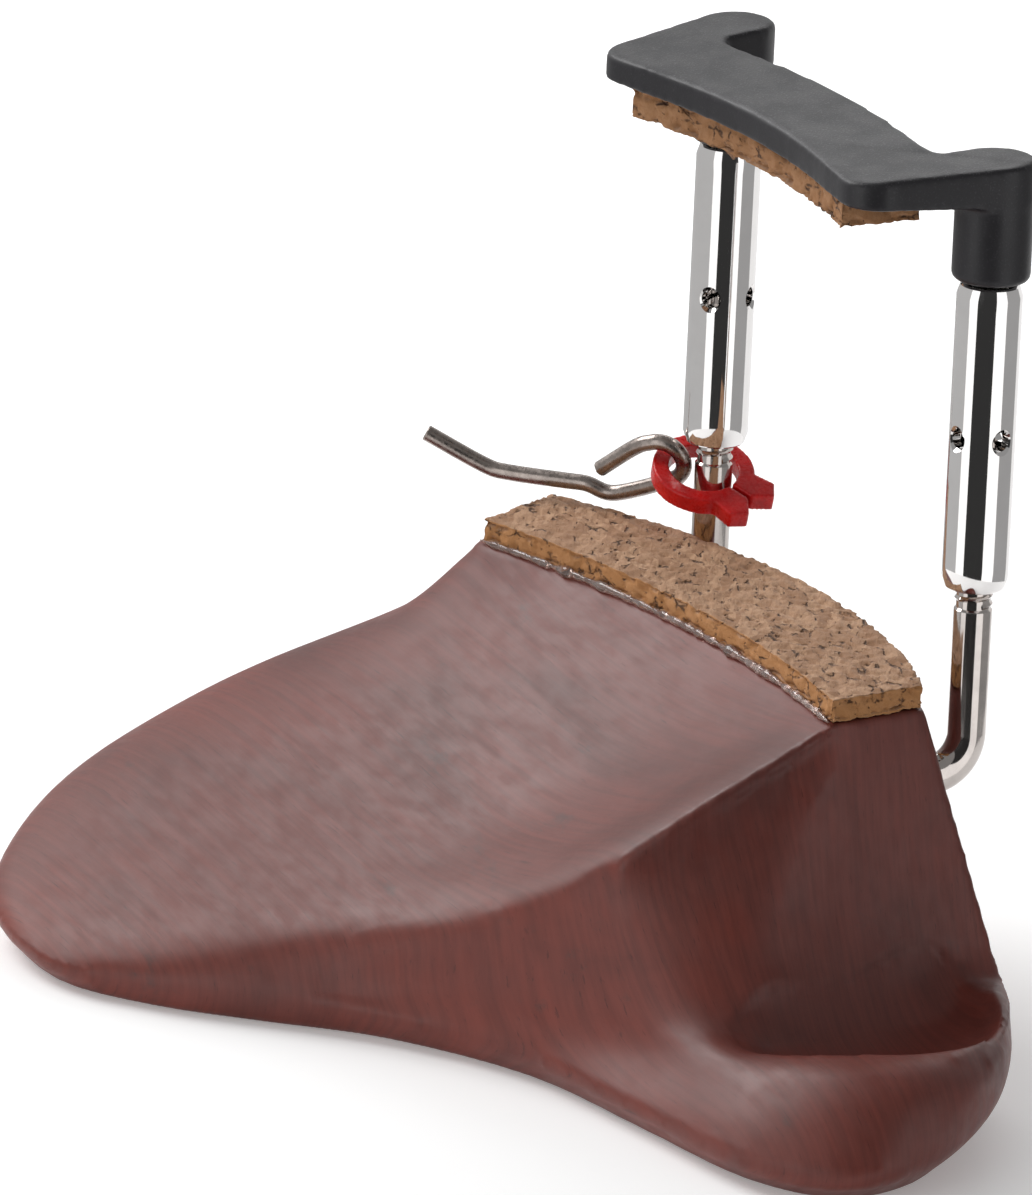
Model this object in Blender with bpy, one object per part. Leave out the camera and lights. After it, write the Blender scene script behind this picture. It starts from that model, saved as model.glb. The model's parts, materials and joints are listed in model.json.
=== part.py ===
"""A side-mounted violin chin rest, stored chin side down with its clamp standing up.

+Z is up, along the two clamp posts. The origin is on the foot cork's face, midway between
the posts in X and POST_LINE inside them in Y. The chin plate lies below the origin."""

import math

import bmesh
import bpy
from mathutils import Matrix, Vector

MM = 0.001
GAP = 0.3 * MM  # left between pieces that touch

# Clamp hardware
POST_SPACING = 41.6 * MM  # between the two post axes
POST_LINE = 6.3 * MM  # the posts stand this far outside the middle of the foot cork
ROD_RADIUS = 1.5 * MM
BORE_RADIUS = ROD_RADIUS + GAP  # of a barrel or boss that a rod screws into
BARREL_RADIUS = 2.575 * MM
BARREL_LENGTH = 24.5 * MM
BARREL_BOTTOM = 6.9 * MM  # above the foot cork
BARREL_CHAMFER_HEIGHT = 0.9 * MM
BARREL_CHAMFER_DEPTH = 0.25 * MM
TOMMY_HOLE_RADIUS = 0.78 * MM
TOMMY_COUNTERSINK = 0.28 * MM
TOMMY_TURN = (math.radians(38), math.radians(8))  # how far each barrel is turned, left then right
ROD_END_GAP = 3.3 * MM  # between the hook rod and the stud that meet inside a barrel
HOOK_DEPTH = 8.1 * MM  # of the hook leg below the foot cork's face
HOOK_BEND = 3.2 * MM
HOOK_LEG = 12.0 * MM  # from the post axis to the leg's end in the wood

# Clamp bracket
BOSS_RADIUS = 3.1 * MM
BOSS_HEIGHT = 6.4 * MM
BOSS_CHAMFER = 0.35 * MM
LUG_RADIUS = BOSS_RADIUS + 0.1 * MM
LUG_THICKNESS = 3.4 * MM
BAR_SLOPE = 0.1  # the top falls this much per unit towards the bar's inner edge
BAR_MIDDLE = (-10.0 * MM, -2.2 * MM)  # inner and outer edge at the middle, from the post line
BAR_CORNER = (-12.3 * MM, -3.5 * MM)  # inner and outer edge at the bar's ends
BAR_CORNER_RADIUS = 3.0 * MM
BAR_CORNER_INSET = 2.4 * MM  # of the rounded corner behind the lug's outer side
LUG_FILLET = (1.2 * MM, 1.4 * MM, 1.6 * MM)  # radius, and its centre's distances from lug and bar
TOP_EDGE_RADIUS = 0.4 * MM
STUD_IN_BOSS = 6.8 * MM
BRACKET_CORK_THICKNESS = 2.1 * MM
BRACKET_CORK_MARGIN = 0.7 * MM

# Foot and its cork
FOOT_CORK_THICKNESS = 1.7 * MM
FOOT_OUTER_OVERHANG = (12.2 * MM, 1.8 * MM)  # of the outer edge past the left and right posts
FOOT_INNER_OVERHANG = (7.8 * MM, 3.0 * MM)
FOOT_OUTER_ARC = (-2.0 * MM, -0.3 * MM, 68.0 * MM)  # its highest point from the post line, and radius
FOOT_INNER_ARC = (3.0 * MM, -12.0 * MM, 115.0 * MM)

# Wood
PLATE_DROP = 31.0 * MM  # from the foot cork's face to the surface that the plate stands on
DISH_DEPTH = 7.2 * MM
DISH_CENTRE = (-6.0, -27.0)  # drawn like RIBS
DISH_SHARES = (0.2, 0.45, 0.75)  # points of the bowl between its lip and its centre
DISH_FULLNESS = 2.4  # a higher power gives a flatter floor and steeper sides
RIM_WIDTH = 2.6 * MM
HOLLOW_CENTRE = (37.8, -15.5, 20.3)  # drawn like RIBS
HOLLOW_RADII = (8.2 * MM, 12.5 * MM, 5.5 * MM)
HOLLOW_BEND = 5.6 * MM  # both of its ends lie this far towards the end face
HOLLOW_OPENING = 5.0 * MM  # the scoop runs straight up this far from its widest level
HOLLOW_TURN = math.radians(10)

# Key and its clip
WIRE_RADIUS = 0.675 * MM
KEY_TURN = math.radians(222)  # direction of the key from its post, in plan
KEY_REACH = 24.2 * MM  # from the post axis to the key's tip
KEY_TIP_BEND = (5.6 * MM, 2.8 * MM)  # along and up, from the bend to the tip
KEY_JOG = 0.6 * MM  # the wire dips this far where its eye starts
KEY_BEND = (1.0 * MM, 0.45 * MM)  # half the length of the bend before the tip, and its rise there
KEY_JOG_POINTS = (3.4 * MM, 1.4 * MM, -0.4 * MM)  # where the jog starts, steepens and ends
EYE_END = 9.4 * MM  # from the post axis to the start of the eye
EYE_LEAD = (3.6 * MM, 1.5 * MM)  # straight wire before and after the eye's bend
EYE_TAIL_END = 0.2 * MM  # the wire stops this far outside the start of the eye
EYE_CLEARANCE = 0.1725 * MM  # between the wire and a corner of the clip's band
CLIP_BAND = 1.3 * MM
CLIP_THICKNESS = 1.5 * MM
CLIP_PLAY = 0.0425 * MM
KEY_TO_ROD = 0.305 * MM  # between the eye and the hook rod
CLIP_TO_BARREL = 2.9 * MM  # from the clip's centre up to the barrel
CLIP_LEAN = math.radians(24)
CLIP_LEAN_TURN = math.radians(-15)  # direction that the clip leans to
CLIP_SLIT = 0.35 * MM
CLIP_SLIT_TURN = math.radians(24)
CLIP_TAIL = (1.9 * MM, 2.5 * MM)  # how far the prongs stand out, and half their width across
CLIP_PRONG = (1.0 * MM, 0.3 * MM, 0.9 * MM)  # the widest point's place and flare, and the tip's width

POSTS = {"left": -POST_SPACING / 2, "right": POST_SPACING / 2}
BARREL_TOP = BARREL_BOTTOM + BARREL_LENGTH
BOSS_BOTTOM = BARREL_TOP + GAP
BAR_BOTTOM = BOSS_BOTTOM + BOSS_HEIGHT
LUG_TOP = BAR_BOTTOM + LUG_THICKNESS
FOOT_TOP = -FOOT_CORK_THICKNESS - GAP
ROD_ENGAGEMENT = (BARREL_LENGTH - ROD_END_GAP) / 2
FOOT_OUTER_ENDS = (POSTS["left"] - FOOT_OUTER_OVERHANG[0], POSTS["right"] + FOOT_OUTER_OVERHANG[1])
FOOT_INNER_ENDS = (POSTS["left"] - FOOT_INNER_OVERHANG[0], POSTS["right"] + FOOT_INNER_OVERHANG[1])
EYE_RADIUS = math.hypot(CLIP_BAND, CLIP_THICKNESS) / 2 + WIRE_RADIUS + EYE_CLEARANCE
EYE_ROOM = EYE_RADIUS + WIRE_RADIUS
CLIP_INNER = ROD_RADIUS + EYE_ROOM / 2 + CLIP_PLAY
CLIP_OUTER = CLIP_INNER + CLIP_BAND
CLIP_OFFSET = ROD_RADIUS + KEY_TO_ROD + EYE_ROOM - CLIP_INNER - CLIP_BAND / 2  # towards the key
CLIP_HEIGHT = BARREL_BOTTOM - CLIP_TO_BARREL


# ---------------------------------------------------------------- helpers


def clear_scene():
    for obj in list(bpy.data.objects):
        bpy.data.objects.remove(obj)


def material(name, colour, roughness, metallic=0.0):
    made = bpy.data.materials.new(name)
    made.use_nodes = True
    shader = made.node_tree.nodes["Principled BSDF"]
    shader.inputs["Base Color"].default_value = (*colour, 1)
    shader.inputs["Roughness"].default_value = roughness
    shader.inputs["Metallic"].default_value = metallic
    return made


def place(bm, name, finish=None, location=(0, 0, 0)):
    """Makes an object of the mesh. A cutter has no finish and stays out of the model."""
    bmesh.ops.recalc_face_normals(bm, faces=bm.faces)
    mesh = bpy.data.meshes.new(name)
    bm.to_mesh(mesh)
    bm.free()
    mesh.shade_smooth()
    mesh.set_sharp_from_angle(angle=math.radians(35))
    obj = bpy.data.objects.new(name, mesh)
    obj.location = location
    bpy.context.scene.collection.objects.link(obj)
    if finish:
        mesh.materials.append(finish)
    else:
        obj.hide_render = True
        obj.display_type = "WIRE"
    return obj


def boolean(obj, cutter, operation="DIFFERENCE"):
    modifier = obj.modifiers.new(cutter.name, "BOOLEAN")
    modifier.operation = operation
    modifier.object = cutter


def turned(profile, segments=40):
    """Spins a closed (radius, z) profile round Z. Points on the axis are welded into one."""
    bm = bmesh.new()
    points = [bm.verts.new((radius, 0, z)) for radius, z in profile]
    edges = [bm.edges.new(pair) for pair in zip(points, points[1:] + points[:1])]
    edges = [edge for edge in edges if max(abs(v.co.x) for v in edge.verts) > 1e-7]
    bmesh.ops.spin(bm, geom=points + edges, cent=(0, 0, 0), axis=(0, 0, 1),
                   angle=math.tau, steps=segments, use_merge=True)
    bmesh.ops.remove_doubles(bm, verts=bm.verts, dist=1e-6)
    bmesh.ops.delete(bm, geom=[edge for edge in bm.edges if not edge.link_faces], context="EDGES")
    return bm


def prism(outline, bottom, top):
    """Extrudes a plan outline. Top may be a number, or a function of a point's (x, y)."""
    bm = bmesh.new()
    base = bm.faces.new([bm.verts.new((x, y, bottom)) for x, y in outline])
    lifted = bmesh.ops.extrude_face_region(bm, geom=[base])["geom"]
    for vert in lifted:
        if isinstance(vert, bmesh.types.BMVert):
            vert.co.z = top(vert.co.x, vert.co.y) if callable(top) else top
    return bm


def catmull_rom(a, b, c, d, t):
    """The point at t of 0 to 1 on a smooth curve through b and c."""
    return 0.5 * (2 * b + (c - a) * t + (2 * a - 5 * b + 4 * c - d) * t**2
                  + (3 * b - a - 3 * c + d) * t**3)


def smooth_path(points, steps):
    """An open curve through points, with this many steps between each two."""
    points = [Vector(point) for point in points]
    ends = [2 * points[0] - points[1], *points, 2 * points[-1] - points[-2]]
    curve = [catmull_rom(*ends[i : i + 4], step / steps)
             for i in range(len(points) - 1) for step in range(steps)]
    return curve + [points[-1]]


def tube(path, radius, sides=16):
    """A round wire along a path of points that lie in one plane, with flat ends."""
    bm = bmesh.new()
    side = (path[1] - path[0]).cross(path[-1] - path[0])
    for first, second in zip(path, path[1:]):
        for third in path[2:]:
            turn = (second - first).cross(third - second)
            if turn.length > side.length:
                side = turn
    side.normalize()
    rings = []
    for i, point in enumerate(path):
        along = (path[min(i + 1, len(path) - 1)] - path[max(i - 1, 0)]).normalized()
        up = side.cross(along)
        rings.append([bm.verts.new(point + radius * (math.cos(angle) * side + math.sin(angle) * up))
                      for angle in (math.tau * k / sides for k in range(sides))])
    for lower, upper in zip(rings, rings[1:]):
        for k in range(sides):
            bm.faces.new((lower[k], lower[k - 1], upper[k - 1], upper[k]))
    bm.faces.new(rings[0])
    bm.faces.new(rings[-1])
    return bm


def arc(centre, radius, start, end, steps):
    """Plan points along an arc, angles in degrees."""
    angles = [math.radians(start + (end - start) * i / steps) for i in range(steps + 1)]
    return [(centre[0] + radius * math.cos(a), centre[1] + radius * math.sin(a)) for a in angles]


def on_foot_arc(curve, x):
    """The point of one of the foot's two arcs at x, in the frame."""
    middle, highest, radius = curve
    return Vector((x, POST_LINE + highest - radius + math.sqrt(radius**2 - (x - middle) ** 2), 0))


def foot_edge(curve, ends, steps):
    """Points along one of the foot's arcs, from its left end to its right."""
    left, right = ends
    return [on_foot_arc(curve, left + (right - left) * i / steps) for i in range(steps + 1)]


# ---------------------------------------------------------------- wood

# Each rib runs from the foot down to the plate's rim: its start on the foot (side, share of
# that side), then knee, shoulder, widest point and base, as (x, y from the post line, drop
# below the foot cork's face) in millimetres. The base needs no drop.
RIBS = (
    (("right", 0.00), (28.6, -0.9, 20.6), (30.2, -1.0, 22.2), (31.0, -1.5, 25.5), (29.0, -4.0)),
    (("right", 0.12), (28.6, -5.0, 20.6), (36.3, -4.3, 21.4), (38.6, -5.2, 26.0), (36.0, -8.0)),
    (("right", 0.24), (28.9, -10.5, 20.6), (43.0, -9.3, 21.3), (46.0, -10.4, 26.5), (42.2, -12.6)),
    (("right", 0.36), (29.6, -16.5, 20.6), (47.8, -16.5, 21.3), (51.8, -18.0, 27.0), (48.2, -19.0)),
    (("right", 0.50), (30.8, -22.5, 20.8), (47.0, -23.5, 21.8), (52.6, -26.3, 28.0), (49.2, -25.8)),
    (("right", 0.64), (30.0, -26.0, 21.3), (40.0, -28.6, 23.2), (44.5, -32.0, 28.3), (42.6, -30.2)),
    (("right", 0.76), (26.0, -27.5, 18.5), (28.5, -31.0, 25.2), (29.5, -33.6, 28.5), (29.2, -32.0)),
    (("right", 0.88), (21.0, -29.0, 15.5), (17.0, -33.8, 25.3), (15.5, -35.6, 28.5), (15.2, -34.0)),
    (("right", 1.00), (19.1, -29.5, 12.0), (5.5, -38.5, 25.6), (3.5, -41.5, 28.5), (3.2, -40.0)),
    (("inner", 0.13), (10.0, -28.5, 13.9), (-2.0, -44.8, 25.7), (-4.0, -48.4, 28.8), (-3.8, -46.9)),
    (("inner", 0.31), (1.0, -28.5, 15.4), (-9.0, -51.0, 26.2), (-11.0, -55.0, 29.0), (-10.7, -53.4)),
    (("inner", 0.49), (-7.0, -29.0, 15.2), (-17.0, -54.8, 26.3), (-19.3, -59.2, 28.8), (-19.0, -57.5)),
    (("inner", 0.67), (-16.0, -29.0, 14.2), (-28.0, -53.0, 24.2), (-31.2, -57.7, 27.5), (-30.2, -55.6)),
    (("inner", 0.84), (-25.0, -27.0, 12.0), (-36.0, -46.0, 20.4), (-40.6, -50.2, 25.5), (-38.6, -48.2)),
    (("left", 0.00), (-33.0, -23.5, 9.9), (-41.2, -36.5, 17.2), (-46.6, -40.5, 23.5), (-43.2, -38.6)),
    (("left", 0.50), (-36.5, -16.0, 8.4), (-43.0, -27.0, 15.0), (-48.3, -29.5, 22.0), (-44.3, -28.6)),
    (("left", 1.00), (-37.0, -8.8, 7.6), (-41.0, -14.0, 14.2), (-45.5, -16.5, 21.5), (-41.0, -18.0)),
    (("outer", 0.10), (-29.0, -6.0, 8.0), (-31.5, -6.3, 15.0), (-34.0, -6.7, 21.5), (-31.0, -10.0)),
    (("outer", 0.28), (-17.4, -3.3, 8.0), (-17.7, -2.6, 15.0), (-18.0, -1.9, 22.0), (-17.0, -5.4)),
    (("outer", 0.52), (-3.7, -1.8, 8.0), (-3.6, -0.9, 15.0), (-3.5, -0.2, 22.0), (-3.5, -3.8)),
    (("outer", 0.77), (10.3, -2.8, 8.0), (11.0, -1.4, 15.0), (12.0, -0.3, 22.0), (12.0, -3.8)),
)
DRAWN_SPACING = 41.6 * MM  # the post spacing and plate drop that RIBS is drawn for
DRAWN_DROP = 31.0
SHARP_RIB = 0  # the corner between the end face and the outer face
COLUMNS = 4  # between two ribs
ROWS = 4  # between two points of a rib


def carved(x, y, drop=DRAWN_DROP):
    """A point drawn like RIBS, stretched to the real post spacing and plate drop."""
    stretch, deepen = POST_SPACING / DRAWN_SPACING, PLATE_DROP / DRAWN_DROP
    return Vector((x * MM * stretch, y * MM + POST_LINE, -drop * deepen))


def dish_bottom():
    return carved(*DISH_CENTRE) + Vector((0, 0, DISH_DEPTH))


def foot_start(side, share):
    """The point where a rib leaves the foot's edge."""
    if side in ("left", "right"):
        end = 0 if side == "left" else 1
        outer = on_foot_arc(FOOT_OUTER_ARC, FOOT_OUTER_ENDS[end])
        inner = on_foot_arc(FOOT_INNER_ARC, FOOT_INNER_ENDS[end])
        point = outer.lerp(inner, share if side == "right" else 1 - share)
    else:
        curve, ends = (FOOT_INNER_ARC, FOOT_INNER_ENDS[::-1]) if side == "inner" else (
            FOOT_OUTER_ARC, FOOT_OUTER_ENDS)
        point = on_foot_arc(curve, ends[0] + (ends[1] - ends[0]) * share)
    return point + Vector((0, 0, FOOT_TOP))


def toward_dish(point, distance):
    """A point of the rim moved towards the dish's centre."""
    inward = carved(*DISH_CENTRE) - point
    inward.z = 0
    return point + inward.normalized() * distance


def rib_curve(rib):
    """One rib as points from the foot over the rim and into the dish."""
    start, knee, shoulder, widest, base = rib
    cage = [foot_start(*start)]
    cage += [carved(*point) for point in (knee, shoulder, widest, base)]
    curve = smooth_path(cage, ROWS)
    lip = toward_dish(curve[-1], RIM_WIDTH)
    curve.append(lip)
    for share in DISH_SHARES:
        bowl = lip.lerp(dish_bottom(), share)
        bowl.z = -PLATE_DROP + DISH_DEPTH * (1 - (1 - share) ** DISH_FULLNESS)
        curve.append(bowl)
    return curve


def across_ribs(ribs, row):
    """One closed row of points through every rib, with a corner at the sharp rib."""
    ring = [rib[row] for rib in ribs]
    ring = ring[SHARP_RIB:] + ring[: SHARP_RIB + 1]
    return smooth_path(ring, COLUMNS)[:-1]


def wood_shell():
    ribs = [rib_curve(rib) for rib in RIBS]
    bm = bmesh.new()
    rows = [[bm.verts.new(point) for point in across_ribs(ribs, row)] for row in range(len(ribs[0]))]
    for upper, lower in zip(rows, rows[1:]):
        for k in range(len(upper)):
            bm.faces.new((upper[k - 1], upper[k], lower[k], lower[k - 1]))
    bm.faces.new(rows[0])
    middle = bm.verts.new(dish_bottom())
    for k in range(len(rows[-1])):
        bm.faces.new((rows[-1][k - 1], rows[-1][k], middle))
    return bm


def hollow_cutter():
    """The scoop in the lobe's upper face that clears a tailpiece."""
    bm = bmesh.new()
    bmesh.ops.create_uvsphere(bm, u_segments=40, v_segments=20, radius=1)
    for vert in bm.verts:
        bend = HOLLOW_BEND / HOLLOW_RADII[0] * vert.co.y ** 2
        if vert.co.z > 0.01 and vert.co.xy.length > 0.01:
            vert.co.xy = vert.co.xy.normalized()
            bend = HOLLOW_BEND / HOLLOW_RADII[0] * vert.co.y ** 2
            vert.co.z *= HOLLOW_OPENING / HOLLOW_RADII[2]
        vert.co.x -= bend
    turn = Matrix.Rotation(HOLLOW_TURN, 4, "Z") @ Matrix.Diagonal((*HOLLOW_RADII, 1))
    bm.transform(turn)
    return place(bm, "hollow_cutter", location=carved(*HOLLOW_CENTRE))


def hook_path():
    """Centre line of a hook rod, from its top end inside the barrel to its end in the wood."""
    top = Vector((0, 0, BARREL_BOTTOM + ROD_ENGAGEMENT))
    bend = [Vector((0, -HOOK_BEND * (1 - math.cos(a)), -HOOK_DEPTH + HOOK_BEND * (1 - math.sin(a))))
            for a in (math.radians(90 * i / 8) for i in range(9))]
    return [top, *bend, Vector((0, -HOOK_LEG, -HOOK_DEPTH))]


def hook_seat(side):
    """The hole that a hook leg is pressed into, a little longer than the leg."""
    path = hook_path()
    path[0].z = FOOT_TOP - GAP
    path[-1].y -= GAP
    seat = tube(path, ROD_RADIUS + GAP, 20)
    return place(seat, f"hook_seat_{side}", location=(POSTS[side], POST_LINE, 0))


def make_wood(finish):
    body = place(wood_shell(), "wood_body", finish)
    boolean(body, hollow_cutter())
    for side in POSTS:
        boolean(body, hook_seat(side))
    return body


# ---------------------------------------------------------------- corks


def make_foot_cork(finish):
    outline = foot_edge(FOOT_INNER_ARC, FOOT_INNER_ENDS, 14)
    outline += reversed(foot_edge(FOOT_OUTER_ARC, FOOT_OUTER_ENDS, 14))
    plan = [(point.x, point.y) for point in outline]
    return place(prism(plan, -FOOT_CORK_THICKNESS, 0), "foot_cork", finish)


def bar_edge(x, side):
    """Y of the bar's inner (0) or outer (1) edge, a shallow arc, measured from the post line."""
    half = POST_SPACING / 2 - LUG_RADIUS
    return BAR_MIDDLE[side] + (BAR_CORNER[side] - BAR_MIDDLE[side]) * (x / half) ** 2


def make_bracket_cork(finish):
    """A pad under the bar, its ends clear of the bosses."""
    half = POST_SPACING / 2 - BOSS_RADIUS - BRACKET_CORK_MARGIN
    steps = 12
    columns = [half * (2 * i / steps - 1) for i in range(steps + 1)]
    outline = [(x, POST_LINE + bar_edge(x, 1) - BRACKET_CORK_MARGIN) for x in columns]
    outline += [(x, POST_LINE + bar_edge(x, 0) + BRACKET_CORK_MARGIN) for x in reversed(columns)]
    top = BAR_BOTTOM - GAP
    return place(prism(outline, top - BRACKET_CORK_THICKNESS, top), "bracket_cork", finish)


# ---------------------------------------------------------------- clamp


def bracket_outline():
    """Plan of the bar and its two lugs, counter-clockwise from the middle of the inner edge."""
    post = POST_SPACING / 2
    half = post - LUG_RADIUS
    corner = (post + LUG_RADIUS - BAR_CORNER_RADIUS - BAR_CORNER_INSET, BAR_CORNER[0] + BAR_CORNER_RADIUS)
    fillet, from_lug, from_bar = LUG_FILLET
    inner = [(half * i / 6, bar_edge(half * i / 6, 0)) for i in range(6)]
    outer = [(half * i / 6, bar_edge(half * i / 6, 1)) for i in range(6, 0, -1)]
    right = inner + arc(corner, BAR_CORNER_RADIUS, -88, 0, 6)
    right += arc((post, 0), LUG_RADIUS, -8, 180, 14)
    right += arc((half - from_lug, BAR_CORNER[1] + from_bar), fillet, 0, -80, 4) + outer[1:]
    right = [(x, y + POST_LINE) for x, y in right]
    left = [(-x, y) for x, y in reversed(right) if x > 0]
    return right + [(0, POST_LINE + BAR_MIDDLE[1])] + left


def make_bracket(finish):
    bm = prism(bracket_outline(), BAR_BOTTOM, lambda x, y: LUG_TOP + BAR_SLOPE * min(y - POST_LINE, 0))
    rim = [edge for edge in bm.edges
           if min(v.co.z for v in edge.verts) > BAR_BOTTOM + LUG_THICKNESS / 4]
    bmesh.ops.bevel(bm, geom=rim, offset=TOP_EDGE_RADIUS, offset_type="OFFSET", segments=3,
                    profile=0.5, affect="EDGES", material=-1)
    bracket = place(bm, "clamp_bracket", finish)
    top = BAR_BOTTOM + LUG_THICKNESS / 2
    for side, x in POSTS.items():
        profile = [(0, BOSS_BOTTOM), (BOSS_RADIUS - BOSS_CHAMFER, BOSS_BOTTOM),
                   (BOSS_RADIUS, BOSS_BOTTOM + BOSS_CHAMFER), (BOSS_RADIUS, top), (0, top)]
        boss = place(turned(profile), f"boss_{side}", location=(x, POST_LINE, 0))
        boolean(bracket, boss, "UNION")
    for side, x in POSTS.items():
        depth = STUD_IN_BOSS + GAP
        profile = [(0, BOSS_BOTTOM - GAP), (BORE_RADIUS, BOSS_BOTTOM - GAP),
                   (BORE_RADIUS, BOSS_BOTTOM + depth), (0, BOSS_BOTTOM + depth)]
        boolean(bracket, place(turned(profile), f"boss_bore_{side}", location=(x, POST_LINE, 0)))
    return bracket


def make_stud(side, finish):
    """The threaded stud that the bracket's boss holds and the barrel screws onto."""
    bottom, top = BARREL_TOP - ROD_ENGAGEMENT, BOSS_BOTTOM + STUD_IN_BOSS
    profile = [(0, bottom), (ROD_RADIUS, bottom), (ROD_RADIUS, top), (0, top)]
    return place(turned(profile, 28), f"bracket_stud_{side}", finish, (POSTS[side], POST_LINE, 0))


def make_barrel(side, turn, finish):
    """A turnbuckle tube, chamfered at both ends, with two crossing tommy-bar holes."""
    neck = BARREL_RADIUS - BARREL_CHAMFER_DEPTH
    profile = [(BORE_RADIUS, BARREL_BOTTOM), (neck, BARREL_BOTTOM),
               (BARREL_RADIUS, BARREL_BOTTOM + BARREL_CHAMFER_HEIGHT),
               (BARREL_RADIUS, BARREL_TOP - BARREL_CHAMFER_HEIGHT),
               (neck, BARREL_TOP), (BORE_RADIUS, BARREL_TOP)]
    barrel = place(turned(profile), f"barrel_{side}", finish, (POSTS[side], POST_LINE, 0))
    wide = TOMMY_HOLE_RADIUS + 2 * TOMMY_COUNTERSINK
    end = BARREL_RADIUS + TOMMY_COUNTERSINK
    narrow_at = BARREL_RADIUS - TOMMY_COUNTERSINK
    hole = [(0, -end), (wide, -end), (TOMMY_HOLE_RADIUS, -narrow_at),
            (TOMMY_HOLE_RADIUS, narrow_at), (wide, end), (0, end)]
    for index in range(2):
        cutter = turned(hole, 20)
        bearing = Matrix.Rotation(turn + index * math.pi / 2, 4, "Z")
        cutter.transform(bearing @ Matrix.Rotation(math.pi / 2, 4, "X"))
        bmesh.ops.reverse_faces(cutter, faces=cutter.faces)
        height = BARREL_BOTTOM + BARREL_LENGTH / 2
        boolean(barrel, place(cutter, f"tommy_{side}_{index}", location=(POSTS[side], POST_LINE, height)))
    return barrel


def make_hook(side, finish):
    return place(tube(hook_path(), ROD_RADIUS, 24), f"hook_rod_{side}", finish, (POSTS[side], POST_LINE, 0))


# ---------------------------------------------------------------- key and clip


def clip_frame():
    """Centre of the clip beside the post's axis, and the normal of its plane, which leans."""
    lean = Vector((math.cos(CLIP_LEAN_TURN), math.sin(CLIP_LEAN_TURN), 0))
    normal = math.cos(CLIP_LEAN) * Vector((0, 0, 1)) + math.sin(CLIP_LEAN) * lean
    along = Vector((math.cos(KEY_TURN), math.sin(KEY_TURN), 0))
    return along * CLIP_OFFSET + Vector((0, 0, CLIP_HEIGHT)), normal


def key_frame():
    """Directions along the key, away from its post, and up in the plane that it is bent in."""
    along = Vector((math.cos(KEY_TURN), math.sin(KEY_TURN), 0))
    _, normal = clip_frame()
    return along, (normal - along * normal.dot(along)).normalized()


def band_point():
    """Middle of the clip's band where the key's eye goes round it."""
    centre, normal = clip_frame()
    along, _ = key_frame()
    flat = (along - normal * along.dot(normal)).normalized()
    return centre + flat * (CLIP_OUTER + CLIP_INNER) / 2


def make_clip(finish):
    """A flat C-shaped ring with a fishtail of two prongs at its slit."""
    slit = CLIP_SLIT / 2
    length, half_tail = CLIP_TAIL
    inner_angle = math.degrees(math.asin(slit / CLIP_INNER))
    outer_angle = math.degrees(math.asin(half_tail / CLIP_OUTER))
    tip, notch = CLIP_OUTER + length, CLIP_OUTER + length / 3
    back, flare, point = CLIP_PRONG
    outline = arc((0, 0), CLIP_OUTER, outer_angle, 360 - outer_angle, 36)
    outline += [(tip - back, -half_tail - flare), (tip, -half_tail + point), (notch, -slit)]
    outline += arc((0, 0), CLIP_INNER, 360 - inner_angle, inner_angle, 36)
    outline += [(notch, slit), (tip, half_tail - point), (tip - back, half_tail + flare)]
    bm = prism(outline, -CLIP_THICKNESS / 2, CLIP_THICKNESS / 2)
    centre, normal = clip_frame()
    lean = Vector((0, 0, 1)).rotation_difference(normal).to_matrix().to_4x4()
    bm.transform(Matrix.Translation(centre) @ lean @ Matrix.Rotation(CLIP_SLIT_TURN, 4, "Z"))
    return place(bm, "key_clip", finish, (POSTS["left"], POST_LINE, 0))


def make_key(finish):
    """A bent wire: raised tip, straight shank, and an eye that passes through the clip."""
    along, up = key_frame()
    band = band_point()
    shank = WIRE_RADIUS + GAP + KEY_JOG  # height of the shank's centre over the foot cork
    rise = (band.z - shank) / up.z
    start = band - up * rise - along * band.dot(along)
    eye = Vector((band.dot(along), rise))
    slope = math.atan2(eye.y - EYE_RADIUS * 0.8 + KEY_JOG, EYE_END - eye.x)
    back = Vector((math.cos(slope), -math.sin(slope)))  # from the clip towards the shank
    across = Vector((math.sin(slope), math.cos(slope)))
    around = [eye - back * math.cos(a) * EYE_RADIUS + across * math.sin(a) * EYE_RADIUS
              for a in (math.radians(angle) for angle in range(-90, 91, 20))]
    bend = KEY_REACH - KEY_TIP_BEND[0]
    half_bend, bend_rise = KEY_BEND
    flat = [Vector((KEY_REACH, KEY_TIP_BEND[1])), Vector((bend + half_bend, bend_rise)),
            Vector((bend - half_bend, 0))]
    flat += [Vector((EYE_END + reach, height)) for reach, height in zip(KEY_JOG_POINTS, (0, 0, -KEY_JOG))]
    flat += [around[0] + back * EYE_LEAD[0], *around, around[-1] + back * EYE_LEAD[1],
             Vector((EYE_END + EYE_TAIL_END, 2 * WIRE_RADIUS + GAP))]
    path = [start + along * point.x + up * point.y for point in flat]
    return place(tube(smooth_path(path, 4), WIRE_RADIUS, 12), "tightening_key", finish,
                 (POSTS["left"], POST_LINE, 0))


def main():
    clear_scene()
    wood = material("stained_wood", (0.16, 0.04, 0.03), 0.4)
    cork = material("cork", (0.55, 0.33, 0.17), 0.9)
    plastic = material("black_plastic", (0.03, 0.03, 0.032), 0.55)
    chrome = material("chrome", (0.8, 0.8, 0.8), 0.08, 1.0)
    steel = material("steel", (0.45, 0.42, 0.39), 0.3, 1.0)
    red = material("red_plastic", (0.6, 0.01, 0.01), 0.35)
    make_wood(wood)
    make_foot_cork(cork)
    make_bracket(plastic)
    make_bracket_cork(cork)
    for side, turn in zip(POSTS, TOMMY_TURN):
        make_stud(side, steel)
        make_barrel(side, turn, chrome)
        make_hook(side, chrome)
    make_clip(red)
    make_key(steel)


main()
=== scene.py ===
import json
import math

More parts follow.
